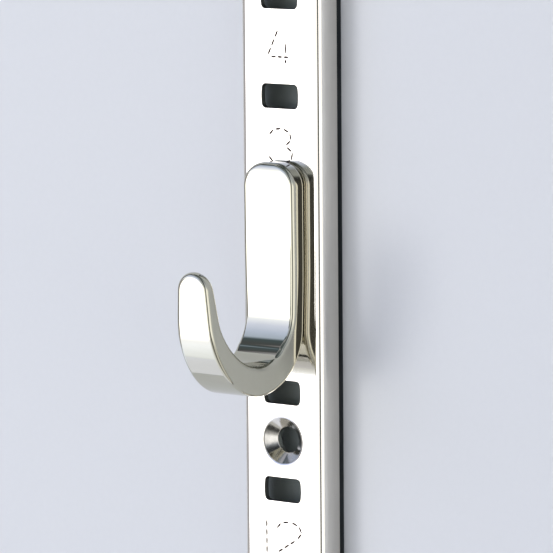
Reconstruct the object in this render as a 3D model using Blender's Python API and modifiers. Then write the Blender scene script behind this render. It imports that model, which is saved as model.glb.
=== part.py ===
"""Slotted wall rail with one lift-off hook, all in stainless steel.

A pressed channel stands upright against a wall.  Its face has a row of
slots on a fixed pitch and a countersunk, dimpled screw hole once in every
group.  A J-shaped hook hangs in two neighbouring slots by a bent claw plate
that is let into its back and held by two countersunk screws.

Frame: metres, +Z up along the rail, the rail's face towards -Y and the wall
in the plane Y = 0.  The origin is on the axis of the lower screw hole, in
the plane of the wall.
"""
import math

import bmesh
import bpy
from mathutils import Matrix, Vector

MM = 0.001

# ---- the rail ---------------------------------------------------------------
RAIL_WIDTH = 20.0 * MM
RAIL_DEPTH = 6.0 * MM
SHEET = 1.2 * MM
BEND_INSIDE = 0.5 * MM          # inside radius of the two long bends
PITCH = 20.0 * MM               # slot to slot
GROUP = 13                      # pitches from one screw hole to the next
PITCHES_BELOW = 2               # whole pitches of rail below the lower screw hole
PITCHES_ABOVE = 2               # and above the upper one

SLOT_WIDTH = 9.0 * MM           # at the middle of its bowed ends
SLOT_HEIGHT = 4.8 * MM
SLOT_BOW = 0.25 * MM            # how far each end bows out
SLOT_CORNER = 0.9 * MM
SLOT_BOW_RADIUS = 8.0 * MM

# ---- the pressed screw seats --------------------------------------------------
SEAT_DIAMETER = 9.8 * MM        # rim of the cone in the face
SCREW_HOLE = 5.2 * MM
SEAT_DEPTH = 2.1 * MM           # from the face down to the hole's edge
SEAT_LAND = 1.1 * MM            # length of the hole's own wall
SEAT_WALL = 1.6 * MM            # how much wider the dimple is behind the sheet
SEAT_SINK = 0.2 * MM            # how far the dimple starts inside the sheet

# ---- the hook -----------------------------------------------------------------
# Heights are from the middle of the lower of its two slots, and "out" is the
# distance from the hook's own back.
HOOK_SLOT_LOW = 1               # slots above the lower screw hole, counted from 0
HOOK_WIDTH = 12.7 * MM
HOOK_THICKNESS = 4.2 * MM       # of the upright plate
HOOK_OVER_SLOT = 7.0 * MM       # how far the plate stands above its upper slot
HOOK_TOP_CORNER = 5.0 * MM
HEEL_HEIGHT = -6.5 * MM         # where its back curves away from the rail
BELLY_HEIGHT = -18.7 * MM       # lowest point of the underside
BELLY_OUT = 13.3 * MM
BELLY_LEVEL = 8.0 * MM          # pull of the curve along the belly, outwards
KNEE_HEIGHT = -2.0 * MM         # where the front of the arm runs straight
KNEE_RISE = 8.5 * MM            # pull of the curve below the knee
CHIN_HEIGHT = -3.0 * MM         # where the plate's front curves into the throat
THROAT_HEIGHT = -12.4 * MM      # lowest point of the throat
THROAT_OUT = 14.5 * MM
THROAT_LEVEL = 4.8 * MM         # pull of the curve along the throat, outwards
SWELL_HEIGHT = -2.0 * MM        # where the inner side of the arm runs straight
SWELL_THICKNESS = 3.5 * MM      # of the arm there
SWELL_RISE = 4.6 * MM           # pull of the curve below it
BELLY_WIDTH = 10.8 * MM
BELLY_TAPER_OUT = 21.0 * MM     # where the strip has narrowed to the belly's width
ARM_WIDTH = 9.4 * MM
ARM_TAPER_OUT = 28.5 * MM       # and where to the arm's
TIP_TAPER_START = -6.0 * MM     # height where the arm starts to narrow to the tip
TIP_WIDTH = 7.4 * MM
TIP_CORNER = 3.3 * MM
TIP_HEIGHT = 7.5 * MM
TIP_THICKNESS = 2.0 * MM
TIP_OUT = 29.6 * MM             # reach of the tip
TIP_LEAN = math.radians(3.5)    # the arm's front leans out from upright

# ---- the claw plate and its screws ----------------------------------------------
CLAW_STRIP = 1.5 * MM
CLAW_BEND = 0.4 * MM            # inside radius of its bends
CLAW_SCREW = 2.5 * MM
CLAW_SCREW_HEAD = 4.4 * MM
CLAW_SCREW_HEAD_HEIGHT = 1.1 * MM
CLAW_SCREW_SPACING = 11.0 * MM
SOCKET_DIAMETER = 1.5 * MM
SOCKET_DEPTH = 0.7 * MM

# ---- clearances -------------------------------------------------------------------
REST_GAP = 0.3 * MM             # between pieces that rest on each other
SCREW_GAP = 0.15 * MM           # round a screw in its hole
CLAW_SIDE_GAP = 0.25 * MM       # beside a claw in its slot
CLAW_PASS_GAP = 0.5 * MM        # under a claw when the hook is lifted, ready to come out
BLIND_SKIN = 0.6 * MM           # metal left in front of the blind screw holes
OVERCUT = 1.0 * MM              # how far a cutter runs past the face it opens

# ---- derived places -----------------------------------------------------------------
FACE_Y = -RAIL_DEPTH
FACE_REAR_Y = FACE_Y + SHEET
BEND_RADIUS = BEND_INSIDE + SHEET
RAIL_LOW = -PITCHES_BELOW * PITCH
RAIL_HIGH = (GROUP + PITCHES_ABOVE) * PITCH
HALF_PITCH = 0.5 * PITCH
SLOT_LEVELS = [RAIL_LOW + HALF_PITCH + i * PITCH
               for i in range(round((RAIL_HIGH - RAIL_LOW) / PITCH))]
SCREW_LEVELS = [0.0, GROUP * PITCH]
LOW_SLOT_Z = HALF_PITCH + HOOK_SLOT_LOW * PITCH
HIGH_SLOT_Z = LOW_SLOT_Z + PITCH
HOOK_BACK_Y = FACE_Y - REST_GAP
HOOK_TOP = PITCH + HOOK_OVER_SLOT       # a height of the hook, as those above

# The claws sit in their slots with the rest gap under each neck, so the hook can
# rise until the same gap is left above it, and its claws then pass the slots.
NECK_BOTTOM = -SLOT_HEIGHT / 2 + REST_GAP
HOOK_LIFT = SLOT_HEIGHT - CLAW_STRIP - 2 * REST_GAP
CLAW_DROP = HOOK_LIFT - CLAW_PASS_GAP   # how far each claw hangs behind the face
CLAW_WIDTH = SLOT_WIDTH - 2 * (SLOT_BOW + CLAW_SIDE_GAP)
CLAW_SCREW_LENGTH = HOOK_THICKNESS - BLIND_SKIN - REST_GAP


# ---- scene and small helpers ------------------------------------------------------------
def clear_scene():
    for old in list(bpy.data.objects):
        bpy.data.objects.remove(old)


def new_collection(name):
    made = bpy.data.collections.new(name)
    bpy.context.scene.collection.children.link(made)
    return made


def steel(name, colour, roughness):
    made = bpy.data.materials.new(name)
    made.use_nodes = True
    shader = made.node_tree.nodes["Principled BSDF"]
    shader.inputs["Base Color"].default_value = (*colour, 1.0)
    shader.inputs["Metallic"].default_value = 1.0
    shader.inputs["Roughness"].default_value = roughness
    return made


def fillet(corners, steps=5):
    """Points of a closed outline whose corners (x, y, radius) are rounded by arcs."""
    points = []
    count = len(corners)
    for i, (x, y, radius) in enumerate(corners):
        here = Vector((x, y))
        back = (Vector(corners[i - 1][:2]) - here).normalized()
        ahead = (Vector(corners[(i + 1) % count][:2]) - here).normalized()
        half = back.angle(ahead) / 2
        if radius <= 0 or half > math.radians(89.9):
            points.append(here)
            continue
        reach = radius / math.tan(half)
        centre = here + (back + ahead).normalized() * radius / math.sin(half)
        first = here + back * reach - centre
        last = here + ahead * reach - centre
        sweep = first.angle_signed(last)
        for k in range(steps + 1):
            turn = Matrix.Rotation(-sweep * k / steps, 2)
            points.append(centre + turn @ first)
    return points


def poly_outline(curve, points):
    spline = curve.splines.new("POLY")
    spline.points.add(len(points) - 1)
    for point, place in zip(spline.points, points):
        point.co = (place[0], place[1], 0.0, 1.0)
    spline.use_cyclic_u = True


def flat_curve(name, half_thickness):
    curve = bpy.data.curves.new(name, "CURVE")
    curve.dimensions = "2D"
    curve.fill_mode = "BOTH"
    curve.extrude = half_thickness
    return curve


def solid_from_curve(curve, collection, turn=Matrix.Identity(4)):
    """Turn a filled flat curve into one closed mesh object with welded caps."""
    holder = bpy.data.objects.new(curve.name + "_outline", curve)
    collection.objects.link(holder)
    depsgraph = bpy.context.evaluated_depsgraph_get()
    mesh = bpy.data.meshes.new_from_object(holder.evaluated_get(depsgraph))
    work = bmesh.new()
    work.from_mesh(mesh)
    bmesh.ops.remove_doubles(work, verts=work.verts, dist=0.000001)
    bmesh.ops.recalc_face_normals(work, faces=work.faces)
    work.to_mesh(mesh)
    work.free()
    made = bpy.data.objects.new(curve.name, mesh)
    collection.objects.link(made)
    made.matrix_world = turn
    bpy.data.objects.remove(holder)
    return made


def facing_front(y):
    """Lay an outline drawn as (x, z) in the plane Y = y."""
    return Matrix.Translation((0, y, 0)) @ Matrix.Rotation(math.radians(90), 4, "X")


def side_on():
    """Lay an outline drawn as (distance out from the wall, z) in the plane X = 0."""
    axes = Matrix(((0, 0, -1), (-1, 0, 0), (0, 1, 0))).to_4x4()
    return axes


def round_bar(name, collection, y_from, y_to, z, radius_from, radius_to, sides=32):
    """A cone or cylinder along Y, from one radius to another."""
    work = bmesh.new()
    bmesh.ops.create_cone(work, cap_ends=True, segments=sides, radius1=radius_from,
                          radius2=radius_to, depth=y_to - y_from)
    mesh = bpy.data.meshes.new(name)
    work.to_mesh(mesh)
    work.free()
    made = bpy.data.objects.new(name, mesh)
    collection.objects.link(made)
    made.rotation_euler = (math.radians(-90), 0, 0)
    made.location = (0, (y_from + y_to) / 2, z)
    return made


def box(name, collection, low, high):
    work = bmesh.new()
    bmesh.ops.create_cube(work, size=1.0)
    size = Vector(high) - Vector(low)
    bmesh.ops.scale(work, vec=size, verts=work.verts)
    bmesh.ops.translate(work, vec=(Vector(high) + Vector(low)) / 2, verts=work.verts)
    mesh = bpy.data.meshes.new(name)
    work.to_mesh(mesh)
    work.free()
    made = bpy.data.objects.new(name, mesh)
    collection.objects.link(made)
    return made


def combine(target, tool, operation):
    tool.hide_render = True
    tool.display_type = "WIRE"
    step = target.modifiers.new(tool.name, "BOOLEAN")
    step.operation = operation
    step.solver = "EXACT"
    step.object = tool


def smooth_rounds(target, angle=35.0):
    target.data.shade_smooth()
    target.data.set_sharp_from_angle(angle=math.radians(angle))


# ---- the rail ------------------------------------------------------------------------------
def slot_outline():
    half = SLOT_WIDTH / 2
    side = half - SLOT_BOW
    high = SLOT_HEIGHT / 2
    corners = [(-side, -high, SLOT_CORNER), (side, -high, SLOT_CORNER),
               (half, 0, SLOT_BOW_RADIUS), (side, high, SLOT_CORNER),
               (-side, high, SLOT_CORNER), (-half, 0, SLOT_BOW_RADIUS)]
    return fillet(corners, steps=3)


def make_rail(parts, cutters):
    half = RAIL_WIDTH / 2
    inside = half - SHEET
    inner_radius = BEND_RADIUS - SHEET
    section = [(-half, 0, 0), (-half, FACE_Y, BEND_RADIUS), (half, FACE_Y, BEND_RADIUS),
               (half, 0, 0), (inside, 0, 0), (inside, FACE_REAR_Y, inner_radius),
               (-inside, FACE_REAR_Y, inner_radius), (-inside, 0, 0)]
    curve = flat_curve("rail_channel", (RAIL_HIGH - RAIL_LOW) / 2)
    poly_outline(curve, fillet(section))
    middle = Matrix.Translation((0, 0, (RAIL_HIGH + RAIL_LOW) / 2))
    rail = solid_from_curve(curve, parts, middle)

    for number, level in enumerate(SCREW_LEVELS):
        dimple_rear = SEAT_DEPTH + SEAT_LAND
        dimple = round_bar(f"seat_dimple_{number}", cutters, FACE_REAR_Y - SEAT_SINK,
                           FACE_Y + dimple_rear, level,
                           SEAT_DIAMETER / 2 - SHEET + SEAT_WALL,
                           SCREW_HOLE / 2 + SEAT_LAND)
        combine(rail, dimple, "UNION")
        slope = (SEAT_DIAMETER - SCREW_HOLE) / 2 / SEAT_DEPTH
        cone = round_bar(f"seat_cone_{number}", cutters, FACE_Y - OVERCUT,
                         FACE_Y + SEAT_DEPTH, level,
                         SEAT_DIAMETER / 2 + slope * OVERCUT, SCREW_HOLE / 2)
        combine(rail, cone, "DIFFERENCE")
        drill = round_bar(f"seat_hole_{number}", cutters, FACE_Y, OVERCUT, level,
                          SCREW_HOLE / 2, SCREW_HOLE / 2)
        combine(rail, drill, "DIFFERENCE")

    curve = flat_curve("slots", SHEET / 2 + OVERCUT)
    for level in SLOT_LEVELS:
        poly_outline(curve, [(p[0], p[1] + level) for p in slot_outline()])
    slots = solid_from_curve(curve, cutters, facing_front(FACE_Y + SHEET / 2))
    combine(rail, slots, "DIFFERENCE")
    return rail


# ---- the hook --------------------------------------------------------------------------------
def bezier_point(spline, index, place, left, right):
    point = spline.bezier_points[index]
    point.co = (*place, 0)
    point.handle_left_type = "FREE"
    point.handle_right_type = "FREE"
    point.handle_left = (*left, 0)
    point.handle_right = (*right, 0)


def hook_side_outline():
    """Side view of the hook as (place, left handle, right handle) of each corner.

    Places are (distance out from its back, height); a handle of None lies on the
    straight line to the neighbour.
    """
    quarter = 0.5523                       # handle length of a quarter ellipse
    across = Vector((1, 0))
    up = Vector((0, 1))
    lean = Vector((math.sin(TIP_LEAN), math.cos(TIP_LEAN)))
    shoulder = TIP_HEIGHT - TIP_THICKNESS / 2
    tip_outer = Vector((TIP_OUT, shoulder))
    knee = tip_outer - lean * (shoulder - KNEE_HEIGHT) / lean.y
    tip_inner = tip_outer - across * TIP_THICKNESS
    crown = Vector((TIP_OUT - TIP_THICKNESS / 2, TIP_HEIGHT))
    front_at_swell = tip_outer - lean * (shoulder - SWELL_HEIGHT) / lean.y
    swell = front_at_swell - across * SWELL_THICKNESS
    swell_way = (tip_inner - swell).normalized()
    belly = Vector((BELLY_OUT, BELLY_HEIGHT))
    throat = Vector((THROAT_OUT, THROAT_HEIGHT))
    heel = Vector((0, HEEL_HEIGHT))
    chin = Vector((HOOK_THICKNESS, CHIN_HEIGHT))
    cap = TIP_THICKNESS / 2 * quarter
    return [
        (Vector((0, HOOK_TOP)), None, None),
        (heel, None, heel - up * quarter * (HEEL_HEIGHT - BELLY_HEIGHT)),
        (belly, belly - across * quarter * BELLY_OUT, belly + across * BELLY_LEVEL),
        (knee, knee - lean * KNEE_RISE, None),
        (tip_outer, None, tip_outer + up * cap),
        (crown, crown + across * cap, crown - across * cap),
        (tip_inner, tip_inner + up * cap, None),
        (swell, None, swell - swell_way * SWELL_RISE),
        (throat, throat + across * THROAT_LEVEL,
         throat - across * quarter * (THROAT_OUT - HOOK_THICKNESS)),
        (chin, chin - up * quarter * (CHIN_HEIGHT - THROAT_HEIGHT), None),
        (Vector((HOOK_THICKNESS, HOOK_TOP)), None, None),
    ]


def make_side_solid(parts):
    curve = flat_curve("hook_body", HOOK_WIDTH / 2)
    curve.resolution_u = 8
    spline = curve.splines.new("BEZIER")
    stops = hook_side_outline()
    spline.bezier_points.add(len(stops) - 1)
    count = len(stops)
    for i, (place, left, right) in enumerate(stops):
        before = stops[i - 1][0]
        after = stops[(i + 1) % count][0]
        left = left if left is not None else place.lerp(before, 1 / 3)
        right = right if right is not None else place.lerp(after, 1 / 3)
        bezier_point(spline, i, place, left, right)
    spline.use_cyclic_u = True
    place = Matrix.Translation((0, HOOK_BACK_Y, LOW_SLOT_Z))
    return solid_from_curve(curve, parts, place @ side_on())


def end_trim(name, cutters, base, end, corner, out_from, out_to):
    """Cutter that rounds the upper end of a strip, seen from the front.

    base and end are (half width, height) where the trim starts and at the top.
    """
    base_half, base_z = base
    end_half, end_z = end
    wide = base_half + 4 * OVERCUT
    high = end_z + 4 * OVERCUT
    outline = [(-wide, base_z, 0), (-base_half, base_z, 0), (-end_half, end_z, corner),
               (end_half, end_z, corner), (base_half, base_z, 0), (wide, base_z, 0),
               (wide, high, 0), (-wide, high, 0)]
    curve = flat_curve(name, (out_to - out_from) / 2)
    poly_outline(curve, fillet(outline, steps=8))
    place = Matrix.Translation((0, 0, LOW_SLOT_Z))
    middle = HOOK_BACK_Y - (out_from + out_to) / 2
    return solid_from_curve(curve, cutters, place @ facing_front(middle))


def make_hook(parts, cutters):
    hook = make_side_solid(parts)

    # Seen from above, the strip narrows from the plate to the belly and the arm.
    half = HOOK_WIDTH / 2
    arm = ARM_WIDTH / 2
    start = HOOK_BACK_Y + OVERCUT
    near = HOOK_BACK_Y - HOOK_THICKNESS
    middle = (BELLY_WIDTH / 2, HOOK_BACK_Y - BELLY_TAPER_OUT)
    far = (arm, HOOK_BACK_Y - ARM_TAPER_OUT)
    end = (arm, HOOK_BACK_Y - TIP_OUT - OVERCUT)
    wide = half + OVERCUT
    right_side = [(wide, start), (wide, near), (half, near), middle, far, end]
    plan = right_side + [(-x, y) for x, y in reversed(right_side)]
    curve = flat_curve("hook_plan", (HOOK_TOP - BELLY_HEIGHT) / 2 + OVERCUT)
    poly_outline(curve, plan)
    level = Matrix.Translation((0, 0, LOW_SLOT_Z + (HOOK_TOP + BELLY_HEIGHT) / 2))
    combine(hook, solid_from_curve(curve, cutters, level), "INTERSECT")

    # Seen from the front, the plate's top is round and the arm narrows to a round tip.
    between = THROAT_OUT
    side = half + REST_GAP                 # clear of the plate's own sides
    plate_base = (side, HOOK_TOP - HOOK_TOP_CORNER - OVERCUT)
    plate_top = (half, HOOK_TOP)
    combine(hook, end_trim("hook_top_trim", cutters, plate_base, plate_top, HOOK_TOP_CORNER,
                           -OVERCUT, between), "DIFFERENCE")
    tip_base = (arm + REST_GAP / 10, TIP_TAPER_START)
    tip_end = (TIP_WIDTH / 2, TIP_HEIGHT)
    combine(hook, end_trim("hook_tip_trim", cutters, tip_base, tip_end, TIP_CORNER,
                           between, TIP_OUT + OVERCUT), "DIFFERENCE")

    # A pocket in its back takes the claw plate, and two blind holes the screws.
    pocket_half = CLAW_WIDTH / 2 + REST_GAP
    low = LOW_SLOT_Z + NECK_BOTTOM - REST_GAP
    high = HIGH_SLOT_Z + NECK_BOTTOM + CLAW_STRIP + REST_GAP
    floor = HOOK_BACK_Y - CLAW_STRIP - REST_GAP
    pocket = box("claw_pocket", cutters, (-pocket_half, floor, low),
                 (pocket_half, HOOK_BACK_Y + OVERCUT, high))
    combine(hook, pocket, "DIFFERENCE")
    for number, level in enumerate(claw_screw_levels()):
        radius = CLAW_SCREW / 2 + SCREW_GAP
        bottom = HOOK_BACK_Y - CLAW_SCREW_LENGTH - REST_GAP
        hole = round_bar(f"blind_hole_{number}", cutters, bottom, HOOK_BACK_Y, level,
                         radius, radius, sides=20)
        combine(hook, hole, "DIFFERENCE")
    return hook


# ---- the claw plate ----------------------------------------------------------------------------
def claw_screw_levels():
    middle = (LOW_SLOT_Z + HIGH_SLOT_Z + CLAW_STRIP) / 2 + NECK_BOTTOM
    return [middle - CLAW_SCREW_SPACING / 2, middle + CLAW_SCREW_SPACING / 2]


def make_claw_plate(parts, cutters):
    front = -(HOOK_BACK_Y - CLAW_STRIP)
    back = -HOOK_BACK_Y
    lip_front = -(FACE_REAR_Y + REST_GAP)
    lip_back = lip_front - CLAW_STRIP
    low = LOW_SLOT_Z + NECK_BOTTOM
    high = HIGH_SLOT_Z + NECK_BOTTOM
    bend = CLAW_BEND
    round_out = CLAW_BEND + CLAW_STRIP / 2
    outline = [
        (front, low, 0), (lip_front, low, bend), (lip_front, low - CLAW_DROP, 0),
        (lip_back, low - CLAW_DROP, bend), (lip_back, low + CLAW_STRIP, round_out),
        (back, low + CLAW_STRIP, bend), (back, high, bend),
        (lip_front, high, bend), (lip_front, high - CLAW_DROP, 0),
        (lip_back, high - CLAW_DROP, bend), (lip_back, high + CLAW_STRIP, round_out),
        (front, high + CLAW_STRIP, round_out)]
    curve = flat_curve("claw_plate", CLAW_WIDTH / 2)
    poly_outline(curve, fillet(outline, steps=4))
    plate = solid_from_curve(curve, parts, side_on())
    for number, level in enumerate(claw_screw_levels()):
        radius = CLAW_SCREW / 2 + SCREW_GAP
        drill = round_bar(f"claw_hole_{number}", cutters, HOOK_BACK_Y - CLAW_STRIP - OVERCUT,
                          HOOK_BACK_Y + OVERCUT, level, radius, radius, sides=20)
        combine(plate, drill, "DIFFERENCE")
        head = CLAW_SCREW_HEAD / 2 + SCREW_GAP
        slope = (CLAW_SCREW_HEAD - CLAW_SCREW) / 2 / CLAW_SCREW_HEAD_HEIGHT
        sink = round_bar(f"claw_sink_{number}", cutters, HOOK_BACK_Y - CLAW_SCREW_HEAD_HEIGHT,
                         HOOK_BACK_Y + OVERCUT, level, radius, head + slope * OVERCUT, sides=20)
        combine(plate, sink, "DIFFERENCE")
    return plate


def make_claw_screw(name, parts, cutters, level):
    """Countersunk screw with a round drive socket, turned about Y."""
    head = CLAW_SCREW_HEAD / 2
    shank = CLAW_SCREW / 2
    rear = 0.0
    neck = -CLAW_SCREW_HEAD_HEIGHT
    point = -CLAW_SCREW_LENGTH
    profile = [(0, rear), (head, rear), (shank, neck), (shank, point), (0, point)]
    mesh = bpy.data.meshes.new(name)
    mesh.from_pydata([(r, 0, y) for r, y in profile], [(i, i + 1) for i in range(4)], [])
    screw = bpy.data.objects.new(name, mesh)
    parts.objects.link(screw)
    turn = screw.modifiers.new("turned", "SCREW")
    turn.steps = 20
    turn.render_steps = 20
    turn.use_merge_vertices = True
    turn.merge_threshold = 0.00001
    socket = round_bar(name + "_socket", cutters, HOOK_BACK_Y - SOCKET_DEPTH,
                       HOOK_BACK_Y + OVERCUT, level, SOCKET_DIAMETER / 2,
                       SOCKET_DIAMETER / 2, sides=6)
    combine(screw, socket, "DIFFERENCE")
    screw.rotation_euler = (math.radians(-90), 0, 0)
    screw.location = (0, HOOK_BACK_Y, level)
    return screw


def main():
    clear_scene()
    parts = new_collection("wall_hook_rack")
    cutters = new_collection("cutters")

    rail = make_rail(parts, cutters)
    rail.data.materials.append(steel("polished_rail", (0.80, 0.80, 0.80), 0.06))

    hook = make_hook(parts, cutters)
    hook.data.materials.append(steel("polished_hook", (0.82, 0.82, 0.81), 0.04))

    plate = make_claw_plate(parts, cutters)
    plate.data.materials.append(steel("claw_steel", (0.62, 0.62, 0.61), 0.30))

    screws = []
    for name, level in zip(("claw_screw_lower", "claw_screw_upper"), claw_screw_levels()):
        screw = make_claw_screw(name, parts, cutters, level)
        screw.data.materials.append(steel(name + "_steel", (0.55, 0.55, 0.54), 0.35))
        screws.append(screw)

    for piece in [rail, hook, plate, *screws]:
        smooth_rounds(piece)

    # The hook's pieces hang from one empty on the axis along which they lift.
    slide = bpy.data.objects.new("hook_slide", None)
    parts.objects.link(slide)
    slide.location = (0, FACE_Y, LOW_SLOT_Z)
    travel = slide.constraints.new("LIMIT_LOCATION")
    travel.use_min_z = True
    travel.use_max_z = True
    travel.min_z = LOW_SLOT_Z
    travel.max_z = LOW_SLOT_Z + HOOK_LIFT
    bpy.context.view_layer.update()
    for piece in [hook, plate, *screws]:
        piece.parent = slide
        piece.matrix_parent_inverse = slide.matrix_world.inverted()


main()
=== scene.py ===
# %% [markdown]
# # A slotted steel wall rail with one lift-off hook
# This lesson dresses a finished mechanical model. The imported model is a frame
# that already has the right sizes and the right motion, so nothing here moves
# or resizes it. Each plain solid is replaced by a piece with the soft bends,
# rolled edges and polish that pressed stainless steel really has.

# %% Load the frame
import math

import bmesh
import bpy
from mathutils import Matrix, Vector
from mathutils.geometry import interpolate_bezier, intersect_line_line_2d


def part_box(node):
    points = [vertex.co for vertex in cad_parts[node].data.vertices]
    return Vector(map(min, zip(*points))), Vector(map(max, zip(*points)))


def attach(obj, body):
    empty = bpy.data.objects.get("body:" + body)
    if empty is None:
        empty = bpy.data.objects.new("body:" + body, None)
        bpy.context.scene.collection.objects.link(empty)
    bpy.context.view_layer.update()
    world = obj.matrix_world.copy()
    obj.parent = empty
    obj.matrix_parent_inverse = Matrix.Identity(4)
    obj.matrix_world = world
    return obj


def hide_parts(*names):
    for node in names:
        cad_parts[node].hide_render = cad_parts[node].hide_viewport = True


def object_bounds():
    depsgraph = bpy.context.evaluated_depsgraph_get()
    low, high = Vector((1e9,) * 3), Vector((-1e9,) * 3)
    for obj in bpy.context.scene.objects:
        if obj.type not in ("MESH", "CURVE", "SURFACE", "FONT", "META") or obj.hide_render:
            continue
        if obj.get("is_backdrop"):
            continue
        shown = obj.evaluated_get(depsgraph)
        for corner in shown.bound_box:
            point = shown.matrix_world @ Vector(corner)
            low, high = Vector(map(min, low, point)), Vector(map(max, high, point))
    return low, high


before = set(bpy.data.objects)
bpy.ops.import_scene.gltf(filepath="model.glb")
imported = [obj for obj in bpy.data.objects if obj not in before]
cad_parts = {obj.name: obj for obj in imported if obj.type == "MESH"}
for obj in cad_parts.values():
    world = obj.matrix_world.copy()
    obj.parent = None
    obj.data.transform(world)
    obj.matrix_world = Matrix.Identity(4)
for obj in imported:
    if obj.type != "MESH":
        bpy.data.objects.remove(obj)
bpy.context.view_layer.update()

MM = 0.001
rail_low, rail_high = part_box("rail_channel")
hook_low, hook_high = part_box("hook_body")
print("rail", rail_low, rail_high)
print("hook", hook_low, hook_high)

# %% [markdown]
# ## Small tools
# Every piece starts as a bmesh, is turned into an object at the origin, and
# keeps its place in its own mesh. Cutters are objects that exist only until the
# Boolean that uses them has been made real.

# %% Tools for pieces and cutters
def clean(work):
    bmesh.ops.remove_doubles(work, verts=work.verts, dist=0.000001)
    bmesh.ops.recalc_face_normals(work, faces=work.faces)


def to_object(work, name, *materials):
    mesh = bpy.data.meshes.new(name)
    work.to_mesh(mesh)
    work.free()
    made = bpy.data.objects.new(name, mesh)
    bpy.context.scene.collection.objects.link(made)
    for material in materials:
        mesh.materials.append(material)
    return made


def make_real(piece):
    """Apply every modifier by keeping the mesh that they give."""
    bpy.context.view_layer.update()
    depsgraph = bpy.context.evaluated_depsgraph_get()
    mesh = bpy.data.meshes.new_from_object(piece.evaluated_get(depsgraph))
    piece.modifiers.clear()
    piece.data = mesh


def cut(piece, tool, operation="DIFFERENCE"):
    step = piece.modifiers.new(tool.name, "BOOLEAN")
    step.operation = operation
    step.solver = "EXACT"
    step.material_mode = "TRANSFER"
    step.object = tool
    make_real(piece)
    bpy.data.objects.remove(tool)


def weld(piece, gap=0.000002):
    """Join points closer than a gap, so that the next cut meets clean triangles."""
    work = bmesh.new()
    work.from_mesh(piece.data)
    bmesh.ops.remove_doubles(work, verts=work.verts, dist=gap)
    bmesh.ops.dissolve_degenerate(work, edges=work.edges, dist=gap)
    work.to_mesh(piece.data)
    work.free()


def finish_shading(piece, angle=35.0):
    """Smooth faces whose normals follow the large flats, so that those stay flat."""
    piece.data.shade_smooth()
    piece.data.set_sharp_from_angle(angle=math.radians(angle))
    step = piece.modifiers.new("even_normals", "WEIGHTED_NORMAL")
    step.mode = "FACE_AREA"
    step.weight = 100
    step.keep_sharp = True


def count(piece):
    work = bmesh.new()
    work.from_mesh(piece.data)
    open_edges = sum(not edge.is_manifold for edge in work.edges)
    triangles = len(work.calc_loop_triangles())
    print(piece.name, triangles, "triangles,", open_edges, "open edges")
    work.free()


# %% [markdown]
# ## One finish for all the steel
# Polished, pressed and brushed steel differ in how deep and how long their
# buffing marks are, and in how much haze lies over them. So one node group
# makes the marks and the haze, and each material sets its own amounts. It puts
# out a colour, a roughness and a height; the metal shader stays in the material.

# %% The steel finish group
def new_group(name, inputs, outputs):
    tree = bpy.data.node_groups.new(name, "ShaderNodeTree")
    for label, kind, value in inputs:
        socket = tree.interface.new_socket(label, in_out="INPUT", socket_type=kind)
        if value is not None:
            socket.default_value = value
    for label, kind in outputs:
        tree.interface.new_socket(label, in_out="OUTPUT", socket_type=kind)
    source = tree.nodes.new("NodeGroupInput")
    sink = tree.nodes.new("NodeGroupOutput")
    return tree, source, sink


def add(tree, kind, **settings):
    node = tree.nodes.new(kind)
    for key, value in settings.items():
        setattr(node, key, value)
    return node


def wire(tree, *pairs):
    for start, end in pairs:
        tree.links.new(start, end)


def math_node(tree, operation, first, second):
    node = add(tree, "ShaderNodeMath", operation=operation)
    for socket, value in zip(node.inputs, (first, second)):
        if isinstance(value, (int, float)):
            socket.default_value = value
        else:
            tree.links.new(value, socket)
    return node.outputs[0]


def make_steel_group():
    tree, source, sink = new_group(
        "steel_finish",
        [("Place", "NodeSocketVector", None),
         ("Tone", "NodeSocketColor", (0.7, 0.7, 0.7, 1.0)),
         ("Gloss", "NodeSocketFloat", 0.05),
         ("Haze", "NodeSocketFloat", 0.03),
         ("Marks", "NodeSocketFloat", 0.3),
         ("Mark Stretch", "NodeSocketVector", (1500.0, 1500.0, 60.0))],
        [("Color", "NodeSocketColor"), ("Roughness", "NodeSocketFloat"),
         ("Height", "NodeSocketFloat")])
    stretch = add(tree, "ShaderNodeMapping", vector_type="POINT")
    marks = add(tree, "ShaderNodeTexNoise")
    marks.inputs["Scale"].default_value = 1.0
    marks.inputs["Detail"].default_value = 3.0
    smudge = add(tree, "ShaderNodeTexNoise")
    smudge.inputs["Scale"].default_value = 140.0
    smudge.inputs["Detail"].default_value = 4.0
    smudge.inputs["Roughness"].default_value = 0.6
    wire(tree, (source.outputs["Place"], stretch.inputs["Vector"]),
         (source.outputs["Mark Stretch"], stretch.inputs["Scale"]),
         (stretch.outputs[0], marks.inputs["Vector"]),
         (source.outputs["Place"], smudge.inputs["Vector"]))
    haze_mask = math_node(tree, "MAXIMUM", math_node(
        tree, "MULTIPLY", math_node(tree, "SUBTRACT", smudge.outputs["Fac"], 0.45), 4.0), 0.0)
    haze = math_node(tree, "MULTIPLY", haze_mask, source.outputs["Haze"])
    line = math_node(tree, "SUBTRACT", marks.outputs["Fac"], 0.5)
    scored = math_node(tree, "MULTIPLY", line, source.outputs["Marks"])
    rough = math_node(tree, "ADD", source.outputs["Gloss"], haze)
    rough = math_node(tree, "ADD", rough, math_node(tree, "MULTIPLY", scored, 0.12))
    shade = math_node(tree, "ADD", 1.0, math_node(tree, "MULTIPLY", scored, 0.22))
    shade = math_node(tree, "SUBTRACT", shade, math_node(tree, "MULTIPLY", haze, 0.9))
    tint = add(tree, "ShaderNodeVectorMath", operation="SCALE")
    wire(tree, (source.outputs["Tone"], tint.inputs[0]), (shade, tint.inputs["Scale"]),
         (tint.outputs[0], sink.inputs["Color"]), (rough, sink.inputs["Roughness"]),
         (scored, sink.inputs["Height"]))
    return tree


steel_finish = make_steel_group()


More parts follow.
